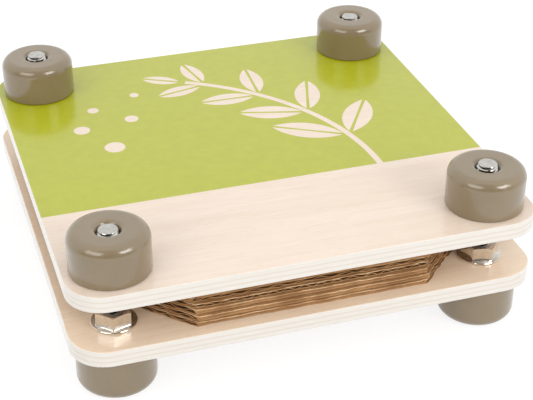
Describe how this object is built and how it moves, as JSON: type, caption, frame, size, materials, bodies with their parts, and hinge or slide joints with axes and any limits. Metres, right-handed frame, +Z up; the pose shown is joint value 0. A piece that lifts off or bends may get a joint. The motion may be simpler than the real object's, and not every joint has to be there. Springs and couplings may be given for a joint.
{
  "type": "flower press",
  "caption": "Tabletop flower press: plywood boards screwed down by turned corner knobs onto a stack of corrugated cards and blotting paper.",
  "frame": {"origin": "on the floor under the middle of the boards, at the undersides of the feet", "axes": "+X along the front edge to the right, +Y from the front to the back, +Z up along the bolts"},
  "size_m": [0.18, 0.18, 0.0661],
  "materials": {
    "plywood": "clear matt birch",
    "painted_wood": "gloss paint",
    "zinc_steel": "bright zinc plate",
    "kraft_card": "raw kraft",
    "blotting_paper": "soft uncoated"
  },
  "bodies": {
    "base": {"bottom_board": "plywood", "foot_front_left": "painted_wood", "bolt_front_left": "zinc_steel", "flange_nut_front_left": "zinc_steel", "foot_front_right": "painted_wood", "bolt_front_right": "zinc_steel", "flange_nut_front_right": "zinc_steel", "foot_back_left": "painted_wood", "bolt_back_left": "zinc_steel", "flange_nut_back_left": "zinc_steel", "foot_back_right": "painted_wood", "bolt_back_right": "zinc_steel", "flange_nut_back_right": "zinc_steel"},
    "top_board": {"top_board": "plywood"},
    "knob_front_left": {"knob_front_left": "painted_wood", "tee_nut_front_left": "zinc_steel"},
    "knob_front_right": {"knob_front_right": "painted_wood", "tee_nut_front_right": "zinc_steel"},
    "knob_back_left": {"knob_back_left": "painted_wood", "tee_nut_back_left": "zinc_steel"},
    "knob_back_right": {"knob_back_right": "painted_wood", "tee_nut_back_right": "zinc_steel"},
    "corrugated_card_1": {"corrugated_card_1": "kraft_card"},
    "blotting_sheet_1": {"blotting_sheet_1": "blotting_paper"},
    "corrugated_card_2": {"corrugated_card_2": "kraft_card"},
    "blotting_sheet_2": {"blotting_sheet_2": "blotting_paper"},
    "corrugated_card_3": {"corrugated_card_3": "kraft_card"},
    "blotting_sheet_3": {"blotting_sheet_3": "blotting_paper"},
    "corrugated_card_4": {"corrugated_card_4": "kraft_card"},
    "blotting_sheet_4": {"blotting_sheet_4": "blotting_paper"},
    "corrugated_card_5": {"corrugated_card_5": "kraft_card"},
    "blotting_sheet_5": {"blotting_sheet_5": "blotting_paper"},
    "corrugated_card_6": {"corrugated_card_6": "kraft_card"},
    "blotting_sheet_6": {"blotting_sheet_6": "blotting_paper"},
    "corrugated_card_7": {"corrugated_card_7": "kraft_card"}
  },
  "joints": [
    {"name": "top_board_lift", "type": "slide", "parent": "base", "child": "top_board", "axis": [0, 0, 1], "range_m": [0, 0.01]},
    {"name": "knob_front_left_turn", "type": "hinge", "parent": "top_board", "child": "knob_front_left", "pos_m": [-0.0723, -0.0723, 0.05], "axis": [0, 0, 1], "range_deg": [0, 2880]},
    {"name": "knob_front_right_turn", "type": "hinge", "parent": "top_board", "child": "knob_front_right", "pos_m": [0.0723, -0.0723, 0.05], "axis": [0, 0, 1], "range_deg": [0, 2880]},
    {"name": "knob_back_left_turn", "type": "hinge", "parent": "top_board", "child": "knob_back_left", "pos_m": [-0.0723, 0.0723, 0.05], "axis": [0, 0, 1], "range_deg": [0, 2880]},
    {"name": "knob_back_right_turn", "type": "hinge", "parent": "top_board", "child": "knob_back_right", "pos_m": [0.0723, 0.0723, 0.05], "axis": [0, 0, 1], "range_deg": [0, 2880]},
    {"name": "corrugated_card_1_lift", "type": "slide", "parent": "base", "child": "corrugated_card_1", "axis": [0, 0, 1], "range_m": [0, 0.0007144]},
    {"name": "blotting_sheet_1_lift", "type": "slide", "parent": "base", "child": "blotting_sheet_1", "axis": [0, 0, 1], "range_m": [0, 0.00143]},
    {"name": "corrugated_card_2_lift", "type": "slide", "parent": "base", "child": "corrugated_card_2", "axis": [0, 0, 1], "range_m": [0, 0.00214]},
    {"name": "blotting_sheet_2_lift", "type": "slide", "parent": "base", "child": "blotting_sheet_2", "axis": [0, 0, 1], "range_m": [0, 0.00286]},
    {"name": "corrugated_card_3_lift", "type": "slide", "parent": "base", "child": "corrugated_card_3", "axis": [0, 0, 1], "range_m": [0, 0.00357]},
    {"name": "blotting_sheet_3_lift", "type": "slide", "parent": "base", "child": "blotting_sheet_3", "axis": [0, 0, 1], "range_m": [0, 0.00429]},
    {"name": "corrugated_card_4_lift", "type": "slide", "parent": "base", "child": "corrugated_card_4", "axis": [0, 0, 1], "range_m": [0, 0.005]},
    {"name": "blotting_sheet_4_lift", "type": "slide", "parent": "base", "child": "blotting_sheet_4", "axis": [0, 0, 1], "range_m": [0, 0.00571]},
    {"name": "corrugated_card_5_lift", "type": "slide", "parent": "base", "child": "corrugated_card_5", "axis": [0, 0, 1], "range_m": [0, 0.00643]},
    {"name": "blotting_sheet_5_lift", "type": "slide", "parent": "base", "child": "blotting_sheet_5", "axis": [0, 0, 1], "range_m": [0, 0.00714]},
    {"name": "corrugated_card_6_lift", "type": "slide", "parent": "base", "child": "corrugated_card_6", "axis": [0, 0, 1], "range_m": [0, 0.00786]},
    {"name": "blotting_sheet_6_lift", "type": "slide", "parent": "base", "child": "blotting_sheet_6", "axis": [0, 0, 1], "range_m": [0, 0.00857]},
    {"name": "corrugated_card_7_lift", "type": "slide", "parent": "base", "child": "corrugated_card_7", "axis": [0, 0, 1], "range_m": [0, 0.00929]}
  ],
  "couplings": [
    {"joint": "knob_front_left_turn", "follows": "top_board_lift", "rad_per_m": 5026.5},
    {"joint": "knob_front_right_turn", "follows": "top_board_lift", "rad_per_m": 5026.5},
    {"joint": "knob_back_left_turn", "follows": "top_board_lift", "rad_per_m": 5026.5},
    {"joint": "knob_back_right_turn", "follows": "top_board_lift", "rad_per_m": 5026.5},
    {"joint": "corrugated_card_1_lift", "follows": "top_board_lift", "ratio": 0.071428},
    {"joint": "blotting_sheet_1_lift", "follows": "top_board_lift", "ratio": 0.14286},
    {"joint": "corrugated_card_2_lift", "follows": "top_board_lift", "ratio": 0.21429},
    {"joint": "blotting_sheet_2_lift", "follows": "top_board_lift", "ratio": 0.28571},
    {"joint": "corrugated_card_3_lift", "follows": "top_board_lift", "ratio": 0.35714},
    {"joint": "blotting_sheet_3_lift", "follows": "top_board_lift", "ratio": 0.42857},
    {"joint": "corrugated_card_4_lift", "follows": "top_board_lift", "ratio": 0.5},
    {"joint": "blotting_sheet_4_lift", "follows": "top_board_lift", "ratio": 0.57143},
    {"joint": "corrugated_card_5_lift", "follows": "top_board_lift", "ratio": 0.64286},
    {"joint": "blotting_sheet_5_lift", "follows": "top_board_lift", "ratio": 0.71428},
    {"joint": "corrugated_card_6_lift", "follows": "top_board_lift", "ratio": 0.78571},
    {"joint": "blotting_sheet_6_lift", "follows": "top_board_lift", "ratio": 0.85714},
    {"joint": "corrugated_card_7_lift", "follows": "top_board_lift", "ratio": 0.92857}
  ]
}
